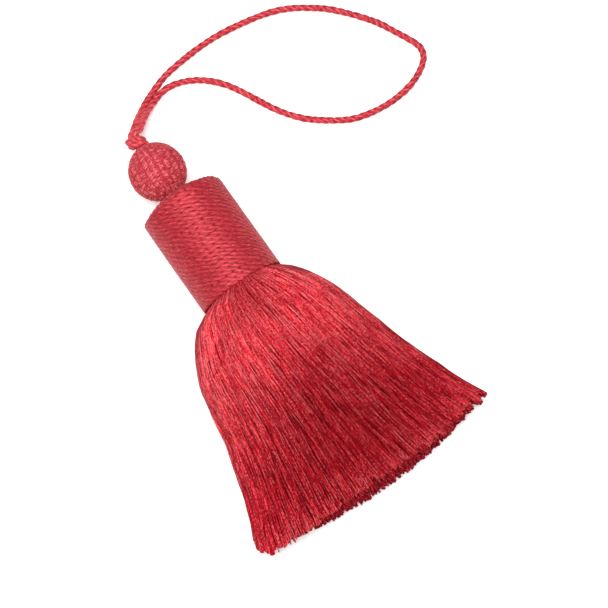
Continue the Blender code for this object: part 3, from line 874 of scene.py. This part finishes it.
def make_yarns(name, across, up, stations, start=0.0, stray=0.0, tufts=SMALL_TUFT, closeness=1.0,
               radius=YARN_RADIUS):
    """A layer of yarns. Each leaves the head at its own place, drifts towards the middle of its lock and of
    its tuft, and ends when its length is used up.

    Across and up are where the yarns leave the head, and stations how many rings each has. Start is the
    share of the length where they begin, stray how far single ones wander, and closeness how much the locks
    gather and drift.
    """
    count = across.size
    centres = np.sort(lock_centres + skirt_chance.normal(0, LOCK_SHIFT, LOCKS) * 2 / LOCKS)
    lock = np.abs(across[:, None] - centres[None]).argmin(axis=1)
    off_middle = (across - centres[lock]) * LOCKS
    gather = closeness * skirt_chance.uniform(*GATHER, LOCKS)[lock]
    lock_drift = closeness * skirt_chance.normal(0, LOCK_DRIFT, LOCKS)[lock]
    lock_lift = skirt_chance.normal(0, LOCK_LIFT, LOCKS)[lock]
    lock_lift = lock_lift - LOCK_ROUND * np.minimum(off_middle ** 2, LOCK_ROUND_LIMIT)
    tuft_size, tuft_spread = tufts
    tuft = np.empty(count, int)
    in_order = np.arange(count) + skirt_chance.uniform(0, TUFT_MIXING, count) * tuft_size
    tuft[np.argsort(across)] = in_order // tuft_size
    tuft_cut = skirt_chance.normal(0, tuft_spread, tuft.max() + 1)[tuft]
    to_tuft = (np.bincount(tuft, across) / np.bincount(tuft))[tuft] - across
    own_drift = skirt_chance.normal(0, OWN_DRIFT, count)
    own_drift = own_drift + stray * skirt_chance.normal(0, STRAY_DRIFT, count) * (1 - across ** 2)
    gathered = centres[lock] + (across - centres[lock]) * (1 - gather) + lock_drift + own_drift
    gathered = gathered + SWEEP * (1 - across ** 2)
    length = cut_lengths(across, up, gathered + TUFT_CLOSENESS * to_tuft, tuft_cut)

    def follow(distance):
        """Where the yarns are at distances from the head, before they sway."""
        share = np.maximum(distance / STRAND_LENGTH, 0)
        grown = share ** GATHER_POWER
        drifted = across[:, None] + (gathered - across)[:, None] * grown
        drifted = drifted + to_tuft[:, None] * TUFT_CLOSENESS * share ** TUFT_POWER
        places = skirt_place(drifted, np.broadcast_to(up[:, None], drifted.shape), distance)
        places[..., 2] += (lock_lift * np.clip(up, 0, 1))[:, None] * grown
        return places

    measured = np.linspace(ROOT_DISTANCE, MEASURED_REACH, MEASURED_STATIONS)
    runs = run_along(follow(np.broadcast_to(measured, (count, MEASURED_STATIONS))))
    end = np.array([np.interp(wanted, run, measured) for wanted, run in zip(length, runs)])[:, None]
    share = start + (1 - start) * np.linspace(0, 1, stations) ** STATION_POWER
    distance = ROOT_DISTANCE + (end - ROOT_DISTANCE) * share
    centre = follow(distance)
    sway = yarn_sway(distance)
    centre[..., 0] += sway[..., 0]
    centre[..., 2] += sway[..., 1] * SWAY_UPWARD

    own_radius = (radius * skirt_chance.uniform(*YARN_RADII, count))[:, None, None]
    turned = skirt_chance.uniform(0, 2 * math.pi, count)[:, None, None]
    turn = 2 * math.pi * np.arange(YARN_POINTS) / YARN_POINTS + turned
    shape = (count, stations, YARN_POINTS)
    across_yarn = np.broadcast_to(own_radius * np.cos(turn), shape)
    above_yarn = np.broadcast_to(own_radius * np.sin(turn), shape)
    rings = ring_points(centre, UP, across_yarn, above_yarn)
    begin = skirt_chance.uniform(0, YARN_PATTERN_SPREAD, count)[:, None]
    along = np.broadcast_to((begin + distance)[..., None], shape)
    strand = np.stack([across_yarn, above_yarn, along], axis=-1)
    own_tone_and_painted_light = skirt_chance.normal(0, 1, count) + skirt_chance.normal(0, LOCK_TONE, LOCKS)[lock]
    # The yarns' own tone, with painted light and painted shade along them
    tone = yarn_tone_and_painted_light(across, up, distance, end - distance, own_tone_and_painted_light + STRAY_TONE * stray)
    yarns = make_strands(name, rings, strand, np.broadcast_to(tone[..., None], shape))
    yarns.data.materials.append(skirt_yarn)
    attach(yarns, "root")
    return yarns


# Cut viscose yarn: the same satin as the bead's thread, but deeper in colour and with more of a metal's
# shine, because hundreds of filaments lie side by side and straight
SKIRT_DEEP = "8E0018"
SKIRT_MID = "D20A22"
SKIRT_LIGHT = "E1666D"
skirt_yarn = make_yarn_finish("cut_viscose_yarn", SKIRT_DEEP, SKIRT_MID, SKIRT_LIGHT,
                              glint_length=0.7, tone_share=0.022, relief_depth=0.14, shine=0.58,
                              roughness=0.48, gloss=0.4)

# The layer that shows: a few of its yarns stray and lie loose on the rest, and its tips are a tufted lip
TOP_YARNS = 1050
TOP_THICKNESS = 0.14
TOP_POWER = 1.4
STRAY_SHARE = 0.08
STRAY_LIFT = 0.04
top_across = spread_evenly(TOP_YARNS, reach=0.985)
top_stray = np.where(skirt_chance.uniform(0, 1, TOP_YARNS) < STRAY_SHARE, 1.0, 0.0)
top_sunk = TOP_THICKNESS * skirt_chance.uniform(0, 1, TOP_YARNS) ** TOP_POWER
top_up = 1 - top_sunk + STRAY_LIFT * top_stray
top_yarns = make_yarns("skirt_top_yarns", top_across, top_up, stations=21, stray=top_stray, tufts=LIP_TUFT)
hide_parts("skirt")

# The layer right under it, seen between its yarns
UPPER_YARNS = 1000
UPPER_LAYER = (0.5, 0.88)
upper_across = spread_evenly(UPPER_YARNS, reach=0.975)
upper_up = skirt_chance.uniform(*UPPER_LAYER, UPPER_YARNS)
make_yarns("skirt_upper_yarns", upper_across, upper_up, stations=19)

# The two sides, closed from the top down to the surface
SIDE_YARNS = 360
SIDE_REACH = 0.99
SIDE_THICKNESS = 0.14
SIDE_CLOSENESS = 0.3
side_sign = np.where(np.arange(SIDE_YARNS) % 2 == 0, -1, 1)
side_across = side_sign * (SIDE_REACH - SIDE_THICKNESS * skirt_chance.uniform(0, 1, SIDE_YARNS))
make_yarns("skirt_side_yarns", side_across, skirt_chance.uniform(-1, 1, SIDE_YARNS), stations=21,
           closeness=SIDE_CLOSENESS)

# The inside, seen only at the cut end, so its yarns begin half way down
INNER_YARNS = 1700
INNER_REACH = 0.96
INNER_LAYER = (-0.68, 0.55)
inner_across = skirt_chance.uniform(-INNER_REACH, INNER_REACH, INNER_YARNS)
inner_up = skirt_chance.uniform(*INNER_LAYER, INNER_YARNS)
make_yarns("skirt_inner_yarns", inner_across, inner_up, stations=10, start=0.5, radius=INSIDE_YARN_RADIUS)

# The underside, which the tassel lies on
LOWER_YARNS = 850
LOWER_REACH = 0.98
LOWER_THICKNESS = 0.32
LOWER_POWER = 1.3
lower_across = skirt_chance.uniform(-LOWER_REACH, LOWER_REACH, LOWER_YARNS)
lower_up = -1 + LOWER_THICKNESS * skirt_chance.uniform(0, 1, LOWER_YARNS) ** LOWER_POWER
make_yarns("skirt_lower_yarns", lower_across, lower_up, stations=14, radius=INSIDE_YARN_RADIUS)
